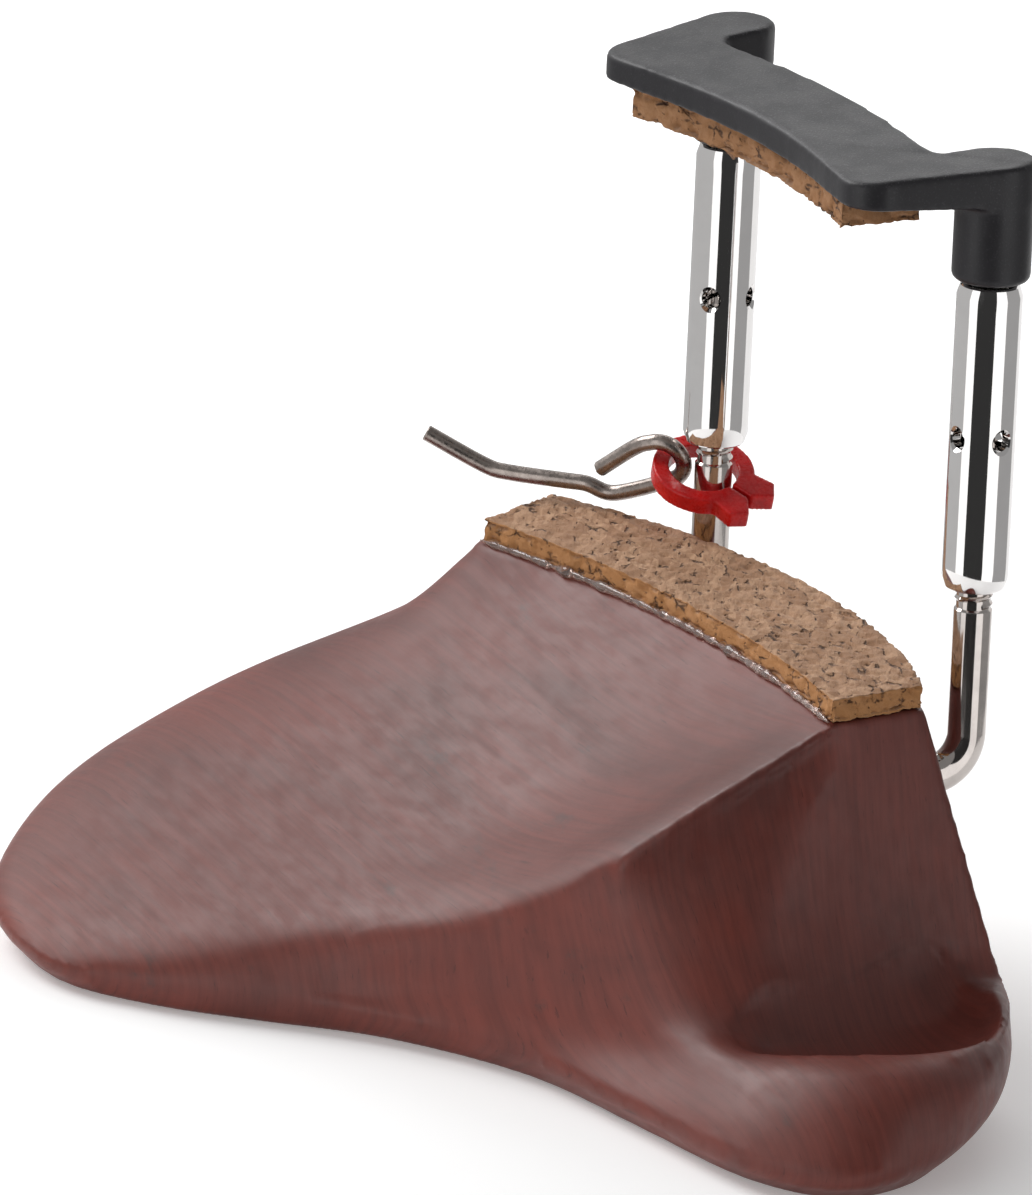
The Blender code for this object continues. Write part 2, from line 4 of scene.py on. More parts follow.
import bmesh
import bpy
from mathutils import Matrix, Vector, kdtree, noise


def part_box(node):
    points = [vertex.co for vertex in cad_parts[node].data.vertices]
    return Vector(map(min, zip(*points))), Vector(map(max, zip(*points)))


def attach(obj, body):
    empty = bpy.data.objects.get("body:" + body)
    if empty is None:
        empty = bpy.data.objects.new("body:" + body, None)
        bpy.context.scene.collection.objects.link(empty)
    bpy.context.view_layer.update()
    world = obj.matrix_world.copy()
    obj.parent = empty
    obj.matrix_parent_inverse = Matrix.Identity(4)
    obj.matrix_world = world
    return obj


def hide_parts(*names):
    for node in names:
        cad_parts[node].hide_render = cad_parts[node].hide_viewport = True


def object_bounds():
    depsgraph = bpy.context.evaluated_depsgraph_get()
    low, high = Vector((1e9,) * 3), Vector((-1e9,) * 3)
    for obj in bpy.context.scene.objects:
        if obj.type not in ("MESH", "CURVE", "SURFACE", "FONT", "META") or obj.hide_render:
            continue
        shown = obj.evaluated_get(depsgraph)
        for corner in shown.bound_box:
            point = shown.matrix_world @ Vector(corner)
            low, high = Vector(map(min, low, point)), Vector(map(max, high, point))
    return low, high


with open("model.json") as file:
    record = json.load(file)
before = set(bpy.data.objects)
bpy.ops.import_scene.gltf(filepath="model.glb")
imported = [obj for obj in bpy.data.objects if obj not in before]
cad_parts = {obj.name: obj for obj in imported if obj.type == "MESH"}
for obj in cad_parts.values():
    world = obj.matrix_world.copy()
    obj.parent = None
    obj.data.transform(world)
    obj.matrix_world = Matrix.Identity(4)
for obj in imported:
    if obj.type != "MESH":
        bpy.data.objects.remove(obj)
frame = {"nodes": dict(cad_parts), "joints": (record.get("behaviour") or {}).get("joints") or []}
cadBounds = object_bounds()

mm = 0.001
samePoint = 0.001 * mm  # points closer than this are one
nodes = frame["nodes"]
joints = {joint["name"]: joint for joint in frame["joints"]}
posts = {side: Vector(joints[side + "_barrel_turn"]["pos_m"][:2]) for side in ("left", "right")}


def linked(name, data):
    made = bpy.data.objects.new(name, data)
    bpy.context.scene.collection.objects.link(made)
    return made


def linkedMesh(name, bm):  # the bmesh is used up
    mesh = bpy.data.meshes.new(name)
    bm.to_mesh(mesh)
    bm.free()
    return linked(name, mesh)


def discard(helper):
    mesh = helper.data
    bpy.data.objects.remove(helper)
    bpy.data.meshes.remove(mesh)


def newPiece(name, bm, body, slot, material, *stoodFor, smoothAngle=0):
    piece = linkedMesh(name, bm)
    piece.data.shade_smooth()
    if smoothAngle:  # edges that turn by more stay crisp
        piece.data.set_sharp_from_angle(angle=math.radians(smoothAngle))
    piece.data.materials.append(material)
    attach(piece, body)
    if stoodFor:
        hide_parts(*stoodFor)
    return piece


def mergedCopy(nodeName):
    bm = bmesh.new()
    bm.from_mesh(nodes[nodeName].data)
    bmesh.ops.remove_doubles(bm, verts=bm.verts, dist=samePoint)
    return bm


def withModifier(bm, kind, **settings):  # the bmesh is used up, and what the modifier makes of it comes back
    worker = linkedMesh("work", bm)
    modifier = worker.modifiers.new("work", kind)
    for setting, value in settings.items():
        setattr(modifier, setting, value)
    bpy.context.view_layer.update()
    made = bmesh.new()
    made.from_mesh(worker.evaluated_get(bpy.context.evaluated_depsgraph_get()).to_mesh())
    discard(worker)
    return made


def relax(bm, verts, passes):
    for i in range(passes):
        bmesh.ops.smooth_vert(bm, verts=verts, factor=0.5, use_axis_x=True, use_axis_y=True, use_axis_z=True)


def sharpPoints(bm, look):  # points closely along every edge that turns by more than the look's angle
    points = []
    for edge in bm.edges:
        if len(edge.link_faces) == 2 and edge.calc_face_angle(0) > math.radians(look["edgeAngle"]):
            start, end = (vert.co for vert in edge.verts)
            count = max(2, int((end - start).length / (look["voxel"] * mm)) + 1)
            points += [start.lerp(end, i / (count - 1)) for i in range(count)]
    tree = kdtree.KDTree(len(points))
    for i, point in enumerate(points):
        tree.insert(point, i)
    tree.balance()
    return tree


def refined(bm, look):  # a fine even skin, smoothed well on its faces and a little at its edges
    bm.normal_update()
    edges = sharpPoints(bm, look)
    bm = withModifier(bm, "REMESH", mode="VOXEL", voxel_size=look["voxel"] * mm, adaptivity=0)
    soft = [vert for vert in bm.verts if edges.find(vert.co)[2] >= look["edgeZone"] * mm]
    relax(bm, bm.verts, look["smoothEdges"])
    relax(bm, soft, look["smoothFaces"] - look["smoothEdges"])
    bm.normal_update()
    return bm


def spun(profile, at, segments=96):  # a closed (radius, height) profile turned round a post
    bm = bmesh.new()
    verts = [bm.verts.new((radius * mm, 0, height * mm)) for radius, height in profile]
    edges = [bm.edges.new(pair) for pair in zip(verts, verts[1:] + verts[:1])]
    bmesh.ops.spin(bm, geom=verts + edges, cent=(0, 0, 0), axis=(0, 0, 1), angle=math.tau,
                   steps=segments, use_merge=True)
    bmesh.ops.remove_doubles(bm, verts=bm.verts, dist=samePoint)
    unused = [edge for edge in bm.edges if not edge.link_faces]  # what lay along the axis
    bmesh.ops.delete(bm, geom=unused, context="EDGES")
    bmesh.ops.recalc_face_normals(bm, faces=bm.faces)
    bmesh.ops.translate(bm, verts=bm.verts, vec=(at.x, at.y, 0))
    return bm


def extruded(bm, cap, vec):  # draws a cap out, and gives the ring of points and the cap at its new end
    grown = bmesh.ops.extrude_face_region(bm, geom=[cap])["geom"]
    ring = [item for item in grown if isinstance(item, bmesh.types.BMVert)]
    bmesh.ops.translate(bm, verts=ring, vec=vec)
    return ring, next(item for item in grown if isinstance(item, bmesh.types.BMFace))


def rgb(r, g, b):
    return (r, g, b, 1)


def finish(name, **values):
    made = bpy.data.materials.new(name)
    made.use_nodes = True
    shader = made.node_tree.nodes["Principled BSDF"]
    for socket, value in values.items():
        shader.inputs[socket.replace("_", " ")].default_value = value
    return made, made.node_tree, shader


def add(tree, kind, sockets=None, **settings):
    made = tree.nodes.new("ShaderNode" + kind)
    for name, value in settings.items():
        setattr(made, name, value)
    for name, value in (sockets or {}).items():
        if isinstance(value, bpy.types.NodeSocket):
            tree.links.new(value, made.inputs[name])
        else:
            made.inputs[name].default_value = value
    return made


def inMillimetres(tree, stretch=(1, 1, 1), turn=(0, 0, 0)):  # object coordinates, turned and then stretched
    place = add(tree, "TexCoord").outputs["Object"]
    turned = add(tree, "Mapping", {"Vector": place, "Rotation": turn}).outputs["Vector"]
    return add(tree, "Mapping", {"Vector": turned, "Scale": [1000 * s for s in stretch]}).outputs["Vector"]


def noiseOf(tree, vector, scale=1.0, detail=4.0, roughness=0.55, distortion=0.0):
    return add(tree, "TexNoise", {"Vector": vector, "Scale": scale, "Detail": detail,
                                  "Roughness": roughness, "Distortion": distortion}).outputs["Fac"]


def between(tree, value, low, high, lowGives=0.0, highGives=1.0):
    return add(tree, "MapRange", {"Value": value, "From Min": low, "From Max": high, "To Min": lowGives,
                                  "To Max": highGives}, interpolation_type="SMOOTHSTEP").outputs["Result"]


def combine(tree, operation, a, b):
    return add(tree, "Math", {0: a, 1: b}, operation=operation).outputs[0]


def blended(tree, factor, a, b):
    return add(tree, "Mix", {0: factor, 6: a, 7: b}, data_type="RGBA").outputs[2]


def facingUp(tree):
    return add(tree, "SeparateXYZ", {0: add(tree, "NewGeometry").outputs["Normal"]}).outputs["Z"]


def bumpOf(tree, height, strength, distance, under=None):
    sockets = {"Height": height, "Strength": strength, "Distance": distance * mm}
    if under:
        sockets["Normal"] = under
    return add(tree, "Bump", sockets).outputs["Normal"]


woodFinish = {
    "base": rgb(0.160, 0.034, 0.024),
    "dark": rgb(0.058, 0.014, 0.011),
    "red": rgb(0.190, 0.031, 0.018),
    "smudge": rgb(0.060, 0.030, 0.027),
    "shader": {"Coat_Weight": 0.05, "Coat_Roughness": 0.3, "Specular_IOR_Level": 0.32},
    "roughness": (0.40, 0.53),
    "fibres": (0.05, 2.6, 0.16),  # each pattern's fineness along, across and up, in a millimetre
    "pores": (0.35, 7.0, 0.9),
    "clouds": (0.035, 0.07, 0.07),
    "redder": (0.05, 0.05, 0.09),
    "smudges": (0.09, 0.24, 0.2),
    "haze": (0.3, 0.8, 0.6),
    "waves": (0.12, 0.3, 0.2),
    "redShare": 0.7,
    "fibreShare": 0.42,
    "smudgeShare": 0.6,
    "poreShare": 0.6,
    "grainBump": (0.10, 0.03),  # strength, and height in millimetres
    "waveBump": (0.12, 0.4),
}


def stainedWood():
    look = woodFinish
    made, tree, shader = finish("stainedWood", **look["shader"])
    fibres = noiseOf(tree, inMillimetres(tree, look["fibres"]), detail=5, roughness=0.62)
    fine = noiseOf(tree, inMillimetres(tree, look["pores"]), detail=3)
    cloud = noiseOf(tree, inMillimetres(tree, look["clouds"]), detail=4, distortion=0.6)
    colour = blended(tree, between(tree, cloud, 0.25, 0.55, 0.35, 1), look["dark"], look["base"])
    redder = noiseOf(tree, inMillimetres(tree, look["redder"], (0.3, 0, 0.4)), detail=2)
    colour = blended(tree, between(tree, redder, 0.48, 0.75, 0, look["redShare"]), colour, look["red"])
    colour = blended(tree, between(tree, fibres, 0.3, 0.75, 0.0, look["fibreShare"]), colour, look["dark"])
    smudges = noiseOf(tree, inMillimetres(tree, look["smudges"], (0, 0, 0.12)), detail=5, roughness=0.7)
    colour = blended(tree, between(tree, smudges, 0.60, 0.74, 0, look["smudgeShare"]), colour, look["smudge"])
    pores = combine(tree, "MULTIPLY", between(tree, fine, 0.62, 0.74), look["poreShare"])
    tree.links.new(blended(tree, pores, colour, look["dark"]), shader.inputs["Base Color"])
    haze = noiseOf(tree, inMillimetres(tree, look["haze"]), detail=5)
    tree.links.new(between(tree, haze, 0.3, 0.7, *look["roughness"]), shader.inputs["Roughness"])
    grainBump = bumpOf(tree, combine(tree, "SUBTRACT", fibres, pores), *look["grainBump"])
    waves = noiseOf(tree, inMillimetres(tree, look["waves"]), detail=2)
    tree.links.new(bumpOf(tree, waves, *look["waveBump"], grainBump), shader.inputs["Normal"])
    return made


corkFinish = {
    "pale": rgb(0.50, 0.30, 0.18),
    "mid": rgb(0.30, 0.155, 0.080),
    "orange": rgb(0.42, 0.185, 0.055),
    # the dark of cracks and holes, which also serves as the colour of the painted shade
    "crackAndPaintedShade": rgb(0.045, 0.020, 0.012),
    "shader": {"Roughness": 0.82, "Specular_IOR_Level": 0.3},
    "turn": (0, 0, 0.6),
    "wander": (0.5, 0.8, 0.8),  # each pattern's fineness along, across and up, in a millimetre
    "flakes": (0.28, 0.85, 0.85),
    "streaks": (0.5, 2.4, 1.9),
    "gaps": (0.5, 0.9, 0.9),
    "pits": (0.6, 1.9, 1.8),
    "crumbs": 5,
    "flakeShare": 0.75,
    "streakShare": 0.8,
    "holeShare": 0.85,
    "holeBump": (0.9, 0.22),  # strength, and height in millimetres
    "crumbBump": (0.4, 0.08),
}


def corkOf(name, sideTone, shade):
    look = corkFinish
    made, tree, shader = finish(name, **look["shader"])
    wander = noiseOf(tree, inMillimetres(tree, look["wander"]), detail=3)
    place = inMillimetres(tree, look["flakes"], look["turn"])
    shift = add(tree, "CombineXYZ", {"X": wander, "Y": wander, "Z": wander}).outputs[0]
    bent = add(tree, "VectorMath", {0: place, 1: shift}, operation="ADD").outputs[0]
    flakes = add(tree, "TexVoronoi", {"Vector": bent, "Scale": 1.0}, feature="F1")
    edges = add(tree, "TexVoronoi", {"Vector": bent, "Scale": 1.0}, feature="DISTANCE_TO_EDGE")
    tone = add(tree, "SeparateColor", {"Color": flakes.outputs["Color"]}).outputs[0]
    colour = blended(tree, between(tree, tone, 0.1, 0.95, 0, look["flakeShare"]), look["pale"], look["mid"])
    streaks = noiseOf(tree, inMillimetres(tree, look["streaks"], look["turn"]), detail=6, roughness=0.7,
                      distortion=0.5)
    colour = blended(tree, between(tree, streaks, 0.40, 0.66, 0, look["streakShare"]), colour, look["mid"])
    where = noiseOf(tree, inMillimetres(tree, look["gaps"]), detail=3)  # cracks open only here and there
    gap = combine(tree, "MULTIPLY", between(tree, edges.outputs["Distance"], 0.0, 0.12, 1, 0),
                  between(tree, where, 0.52, 0.64))
    pits = noiseOf(tree, inMillimetres(tree, look["pits"], look["turn"]), detail=4)
    hole = combine(tree, "MAXIMUM", gap, between(tree, pits, 0.64, 0.74))
    steep = add(tree, "Math", {0: facingUp(tree)}, operation="ABSOLUTE").outputs[0]
    colour = blended(tree, between(tree, steep, 0.35, 0.8, sideTone, 0), colour, look["orange"])
    # painted shade: the whole pad is darkened evenly by the shade share toward the dark colour
    colour = blended(tree, shade, colour, look["crackAndPaintedShade"])
    colour = blended(tree, combine(tree, "MULTIPLY", hole, look["holeShare"]), colour, look["crackAndPaintedShade"])
    tree.links.new(colour, shader.inputs["Base Color"])
    height = combine(tree, "SUBTRACT", combine(tree, "MULTIPLY", streaks, 0.5), hole)
    crumbs = noiseOf(tree, inMillimetres(tree), scale=look["crumbs"], detail=3)
    normal = bumpOf(tree, crumbs, *look["crumbBump"], bumpOf(tree, height, *look["holeBump"]))
    tree.links.new(normal, shader.inputs["Normal"])
    return made


plasticFinish = {
    "colour": rgb(0.016, 0.0148, 0.0175),
    "speck": rgb(0.070, 0.066, 0.074),
    "shader": {"Specular_IOR_Level": 0.35},
    "grain": 6.0,
    "speckShare": 0.8,
    "roughness": (0.42, 0.50),  # on the sides and on top
    "grainBump": (0.5, 0.06),
}


def grainedPlastic():
    look = plasticFinish
    made, tree, shader = finish("grainedPlastic", **look["shader"])
    grain = noiseOf(tree, inMillimetres(tree), scale=look["grain"], detail=2)
    up = facingUp(tree)
    top = between(tree, up, 0.5, 0.9)
    specks = combine(tree, "MULTIPLY", between(tree, grain, 0.55, 0.72, 0, look["speckShare"]),
                     between(tree, up, 0.3, 0.9, 0.25, 1))
    tree.links.new(blended(tree, specks, look["colour"], look["speck"]), shader.inputs["Base Color"])
    cloud = noiseOf(tree, inMillimetres(tree), scale=0.3, detail=3)
    rough = combine(tree, "ADD", between(tree, top, 0, 1, *look["roughness"]),
                    between(tree, cloud, 0.3, 0.7, -0.03, 0.05))
    tree.links.new(rough, shader.inputs["Roughness"])
    height = combine(tree, "MULTIPLY", grain, between(tree, top, 0, 1, 0.25, 1))
    tree.links.new(bumpOf(tree, height, *look["grainBump"]), shader.inputs["Normal"])
    return made


metalFinish = {
    "chrome": {"colour": (0.86, 0.84, 0.83), "roughness": 0.045, "wear": 0.04},
    "rodChrome": {"colour": (0.60, 0.55, 0.52), "roughness": 0.08, "wear": 0.15},
    "threadSteel": {"colour": (0.55, 0.53, 0.50), "roughness": 0.22, "wear": 0.15},
    "keySteel": {"colour": (0.40, 0.345, 0.315), "roughness": 0.24, "wear": 0.35,
                 "along": (0.6, 0.6, 0.6), "lines": 0.1},
}


def polishedMetal(name, colour, roughness, wear, along=(1, 1, 0.05), lines=0.02):
    made, tree, shader = finish(name, Metallic=1.0)
    smear = noiseOf(tree, inMillimetres(tree), scale=0.5, detail=4)
    worn = rgb(*[channel * (1 - wear) for channel in colour])
    tint = blended(tree, between(tree, smear, 0.3, 0.75), rgb(*colour), worn)
    tree.links.new(tint, shader.inputs["Base Color"])
    scratches = noiseOf(tree, inMillimetres(tree, along), scale=5, detail=2)
    rough = between(tree, scratches, 0.35, 0.75, roughness, roughness * 1.7)
    tree.links.new(rough, shader.inputs["Roughness"])
    tree.links.new(bumpOf(tree, scratches, lines, 0.02), shader.inputs["Normal"])
    return made


redFinish = {
    "bright": rgb(0.60, 0.006, 0.006),
    "deep": rgb(0.45, 0.004, 0.005),
    "shader": {"Subsurface_Weight": 0.1, "Subsurface_Scale": 0.6 * mm, "Subsurface_Radius": (1.0, 0.05, 0.03),
               "Specular_IOR_Level": 0.4},
    "roughness": (0.22, 0.38),
    "scuffBump": (0.12, 0.05),
}


def redPlastic():
    look = redFinish
    made, tree, shader = finish("redPlastic", **look["shader"])
    flow = noiseOf(tree, inMillimetres(tree), scale=0.7, detail=3)
    colour = blended(tree, between(tree, flow, 0.3, 0.7), look["bright"], look["deep"])
    tree.links.new(colour, shader.inputs["Base Color"])
    scuffs = noiseOf(tree, inMillimetres(tree), scale=3, detail=4)
    tree.links.new(between(tree, scuffs, 0.3, 0.75, *look["roughness"]), shader.inputs["Roughness"])
    tree.links.new(bumpOf(tree, scuffs, *look["scuffBump"]), shader.inputs["Normal"])
    return made


glueFinish = {
    "clear": rgb(0.86, 0.72, 0.66),
    "brown": rgb(0.62, 0.42, 0.36),
    "shader": {"Transmission_Weight": 0.85, "IOR": 1.47, "Roughness": 0.06},
    "skinBump": (0.3, 0.15),
}


def driedGlue():
    look = glueFinish
    made, tree, shader = finish("driedGlue", **look["shader"])
    skin = noiseOf(tree, inMillimetres(tree), scale=1.1, detail=3)
    colour = blended(tree, between(tree, skin, 0.35, 0.7), look["clear"], look["brown"])
    tree.links.new(colour, shader.inputs["Base Color"])
    tree.links.new(bumpOf(tree, skin, *look["skinBump"]), shader.inputs["Normal"])
    return made


woodLook = {  # sizes in millimetres, here and in the other pieces' values
    "voxel": 0.42,
    "smoothFaces": 26,
    "smoothEdges": 3,
    "edgeZone": 0.8,
    "edgeAngle": 30,
    "endLow": (11, -31, -24),  # the end face is planed where it lies in this box
    "endHigh": (40, 6, -3.2),
    "endFacing": 0.2,  # and faces the end by at least this much
    "endPasses": 140,
    "endMargin": 2,  # how far before the box the easing starts
    "easePasses": 4,
}


def planeEndFace(bm, look):
    solid = mergedCopy("wood_body")
    edges = sharpPoints(solid, look)
    solid.free()
    zoneEdge = look["edgeZone"] * mm
    low, high = (Vector(corner) * mm for corner in (look["endLow"], look["endHigh"]))
    bm.normal_update()
    zone = [vert for vert in bm.verts
            if all(a < c < b for a, c, b in zip(low, vert.co, high))
            and vert.normal.x > look["endFacing"] and edges.find(vert.co)[2] > zoneEdge]
    relax(bm, zone, look["endPasses"])
    around = [vert for vert in bm.verts if vert.co.x > low.x - look["endMargin"] * mm]
    for i in range(look["easePasses"]):
        relax(bm, [vert for vert in around if edges.find(vert.co)[2] > zoneEdge], 1)
    bm.normal_update()


def woodPlate():
    bm = refined(mergedCopy("wood_body"), woodLook)
    planeEndFace(bm, woodLook)
    newPiece("woodPlate", bm, "rest", "stained_wood", stainedWood(), "wood_body")


corkLook = {
    "voxel": 0.21,
    "smoothFaces": 2,
    "smoothEdges": 2,
    "edgeZone": 0.3,
    "edgeAngle": 40,
    "reach": 0.32,  # across the gap to what the pad is glued to
    "chipScale": 0.75,
    "granule": (0.9, 2.3),  # fineness along the pad, and across and up
    "cornerWidth": 0.7,
    "sideChip": 0.55,
    "sideShares": (0.35, 0.65, 0.4),  # even wear, chips and granules
    "cornerChip": 0.55,
    "cornerWear": 0.25,
    "cornerTop": 0.35,
    "pit": 0.26,
    "pitStart": 0.1,
}


def crumble(bm, look, low, high, seed):  # breaks granules out of sides and corners, and pits the faces
    alongGrain, acrossGrain = look["granule"]
    even, chipShare, granuleShare = look["sideShares"]
    for vert in bm.verts:
        place = vert.co / mm
        side = 1 - abs(vert.normal.z)
        chip = noise.fractal(place * look["chipScale"] + Vector((seed, 0, 0)), 0.8, 2.0, 3)
        granule = noise.noise(Vector((place.x * alongGrain, place.y * acrossGrain,
                                      place.z * acrossGrain + seed)))
        corner = max(0.0, 1 - min(place.z - low, high - place.z) / look["cornerWidth"])
        wear = even + chipShare * max(0.0, chip) + granuleShare * max(0.0, granule)
        broken = max(0.0, chip + look["cornerWear"])
        depth = side * look["sideChip"] * wear
        depth += corner * look["cornerChip"] * broken * (look["cornerTop"] + side)
        depth += (1 - side) * look["pit"] * max(0.0, granule - look["pitStart"])
        vert.co -= vert.normal * depth * mm


def corkPad(name, nodeName, body, material, gluedOnTop, seed):
    low, high = (corner.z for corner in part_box(nodeName))
    middle = (low + high) / 2
    if gluedOnTop:
        high += corkLook["reach"] * mm
    else:
        low -= corkLook["reach"] * mm
    bm = mergedCopy(nodeName)
    for vert in bm.verts:
        if (vert.co.z > middle) == gluedOnTop:
            vert.co.z = high if gluedOnTop else low
    bm = refined(bm, corkLook)
    crumble(bm, corkLook, low / mm, high / mm, seed)
    newPiece(name, bm, body, "cork", material, nodeName)


glueLook = {
    "radius": 0.30,
    "swing": 0.24,
    "thinnest": 0.05,
    "waves": ((0.19, 4.2, 1.0), (0.55, 1.3, 0.6)),  # pace along the bead, row of the noise, and share
    "sides": 8,
    "step": 0.35,
    "out": 0.10,
    "drop": 0.12,
    "taper": 6,  # rings over which each end thins out
    "level": 0.01,
    "inner": 2,  # how far from the pad's middle line the inner edge starts
}


def glueBead():  # squeezed out along the foot cork's inner lower edge, thick and thin by turns
    look = glueLook
    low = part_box("foot_cork")[0].z
    cork = mergedCopy("foot_cork")
    foot = [vert.co.xy for vert in cork.verts if vert.co.z < low + look["level"] * mm]
    cork.free()
    middle = sum(point.y for point in foot) / len(foot)
    inner = [point for point in foot if point.y < middle - look["inner"] * mm]
    inner.sort(key=lambda point: point.x)
    route = []
    for start, end in zip(inner, inner[1:]):
        count = max(1, round((end - start).length / (look["step"] * mm)))
        route += [start.lerp(end, i / count) for i in range(count)]
    last = len(route) - 1
    bm = bmesh.new()
    rings = []
    for i, point in enumerate(route):
        along = route[min(i + 1, last)] - route[max(i - 1, 0)]
        across = Vector((along.y, -along.x)).normalized()
        uneven = sum(share * noise.noise(Vector((i * pace, row, 0))) for pace, row, share in look["waves"])
        taper = min(1, (min(i, last - i) + 1) / look["taper"])
        radius = max(look["thinnest"], look["radius"] + look["swing"] * uneven) * taper * mm
        centre = Vector((*(point + across * look["out"] * mm), low - look["drop"] * mm))
        turn = Matrix.Rotation(math.atan2(across.y, across.x), 4, "Z") @ Matrix.Rotation(math.pi / 2, 4, "X")
        ring = bmesh.ops.create_circle(bm, segments=look["sides"], radius=radius,
                                       matrix=Matrix.Translation(centre) @ turn)["verts"]
        rings.append([edge for vert in ring for edge in vert.link_edges])
    for a, b in zip(rings, rings[1:]):
        bmesh.ops.bridge_loops(bm, edges=list(set(a) | set(b)))
    bmesh.ops.holes_fill(bm, edges=[edge for edge in bm.edges if edge.is_boundary], sides=0)
    bmesh.ops.recalc_face_normals(bm, faces=bm.faces)
    newPiece("glueBead", bm, "rest", "cork", driedGlue())


barLook = {"voxel": 0.25, "smoothFaces": 14, "smoothEdges": 4, "edgeZone": 0.45, "edgeAngle": 24}


def clampBar():
    bm = refined(mergedCopy("clamp_bracket"), barLook)
    newPiece("clampBar", bm, "clamp", "black_plastic", grainedPlastic(), "clamp_bracket")


barrelLook = {
    "radius": 2.575,
    "bore": 1.72,
    "chamfer": (0.25, 0.9),  # how far in, and how tall
    "rimEase": 0.12,
    "boreEase": 0.15,
    "rows": 24,
    "hole": 0.78,
    "countersink": 0.28,
    "holeSegments": 48,
    "turn": {"left": 38, "right": 8},  # of the first tommy hole, in degrees
    "smoothAngle": 25,
}


def barrel(side, material):
    look = barrelLook
    low, high = (corner.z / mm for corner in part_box("barrel_" + side))
    outer, bore, rim, lip = look["radius"], look["bore"], look["rimEase"], look["boreEase"]
    inset, tall = look["chamfer"]
    neck = outer - inset
    straight = [low + tall + (high - low - 2 * tall) * i / look["rows"] for i in range(look["rows"] + 1)]
    profile = [(bore + lip, low), (neck - rim, low), (neck, low + rim)]
    profile += [(outer, z) for z in straight]
    profile += [(neck, high - rim), (neck - rim, high), (bore + lip, high), (bore, high - lip)]
    profile += [(bore, z) for z in reversed(straight[2:-2:2])] + [(bore, low + lip)]
    bm = spun(profile, posts[side])
    wide = look["hole"] + 2 * look["countersink"]
    end, inner = outer + look["countersink"], outer - look["countersink"]
    hole = [(0, -end), (wide, -end), (look["hole"], -inner), (look["hole"], inner), (wide, end), (0, end)]
    for quarter in range(2):  # two tommy holes that cross
        cutter = spun(hole, Vector((0, 0)), look["holeSegments"])
        turn = math.radians(look["turn"][side]) + quarter * math.pi / 2
        cutter.transform(Matrix.Translation((*posts[side], (low + high) / 2 * mm))
                         @ Matrix.Rotation(turn, 4, "Z") @ Matrix.Rotation(math.pi / 2, 4, "X"))
        tool = linkedMesh("cutter", cutter)
        bm = withModifier(bm, "BOOLEAN", operation="DIFFERENCE", object=tool)
        discard(tool)
    newPiece(side + "Barrel", bm, side + "_barrel", "chrome", material, "barrel_" + side,
             smoothAngle=look["smoothAngle"])


threadLook = {"core": 1.34, "crest": 1.5, "pitch": 0.7, "flank": 0.42, "sunk": 0.05, "steps": 28, "lead": 0.25}


def addThread(bm, at, bottom, top):  # a helical ridge standing on the core
    look = threadLook
    turns = (top - bottom - 2 * look["lead"]) / look["pitch"]
    foot, half = look["core"] - look["sunk"], look["pitch"] * look["flank"]
    start = bottom + look["lead"]
    corners = [(foot, start - half), (look["crest"], start), (foot, start + half)]
    face = bm.faces.new([bm.verts.new((at.x + r * mm, at.y, z * mm)) for r, z in corners])
    steps = int(turns * look["steps"])
    bmesh.ops.spin(bm, geom=[face] + list(face.edges) + list(face.verts), cent=(at.x, at.y, 0),
                   axis=(0, 0, 1), dvec=(0, 0, turns * look["pitch"] * mm / steps),
                   angle=turns * math.tau, steps=steps)
    bmesh.ops.holes_fill(bm, edges=[edge for edge in bm.edges if edge.is_boundary], sides=0)


rodLook = {
    "radius": 1.5,
    "segments": 48,
    "endEase": 0.2,
    "threadStart": 5.3,
    "shoulder": 0.18,
    "depth": 8.1,  # of the leg's middle line below the origin
    "bend": 3.2,
    "bendSteps": 16,
    "leg": 12.0,  # from the post's middle to the leg's end
    "smoothAngle": 35,
}


def hookRod(side, material):
    look = rodLook
    at = posts[side]
    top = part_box("hook_rod_" + side)[1].z / mm
    core, ease, start, shoulder = threadLook["core"], look["endEase"], look["threadStart"], look["shoulder"]
    bm = bmesh.new()
    disc = bmesh.ops.create_circle(bm, cap_ends=True, segments=look["segments"], radius=(core - ease) * mm,
                                   matrix=Matrix.Translation((at.x, at.y, top * mm)))
    cap = disc["verts"][0].link_faces[0]
    steps = [(ease, core), (top - ease - start, core), (shoulder, look["radius"]),
             (start - shoulder + look["depth"] - look["bend"], look["radius"])]
    for down, radius in steps:  # from the thread's end down to the bend
        ring, cap = extruded(bm, cap, (0, 0, -down * mm))
        now = (ring[0].co.xy - at).length
        bmesh.ops.scale(bm, verts=ring, vec=(radius * mm / now, radius * mm / now, 1),
                        space=Matrix.Translation((-at.x, -at.y, 0)))
    centre = (at.x, at.y - look["bend"] * mm, (look["bend"] - look["depth"]) * mm)
    swept = bmesh.ops.spin(bm, geom=[cap] + list(cap.edges) + list(cap.verts), cent=centre, axis=(1, 0, 0),
                           angle=-math.pi / 2, steps=look["bendSteps"])["geom_last"]
    cap = next(item for item in swept if isinstance(item, bmesh.types.BMFace))
    extruded(bm, cap, (0, (look["bend"] - look["leg"]) * mm, 0))
    bmesh.ops.recalc_face_normals(bm, faces=bm.faces)
    addThread(bm, at, start, top)
    bmesh.ops.recalc_face_normals(bm, faces=bm.faces)
    newPiece(side + "HookRod", bm, "rest", "chromed_rod", material, "hook_rod_" + side,
             smoothAngle=look["smoothAngle"])


studLook = {"segments": 48, "endEase": 0.2, "smoothAngle": 35}


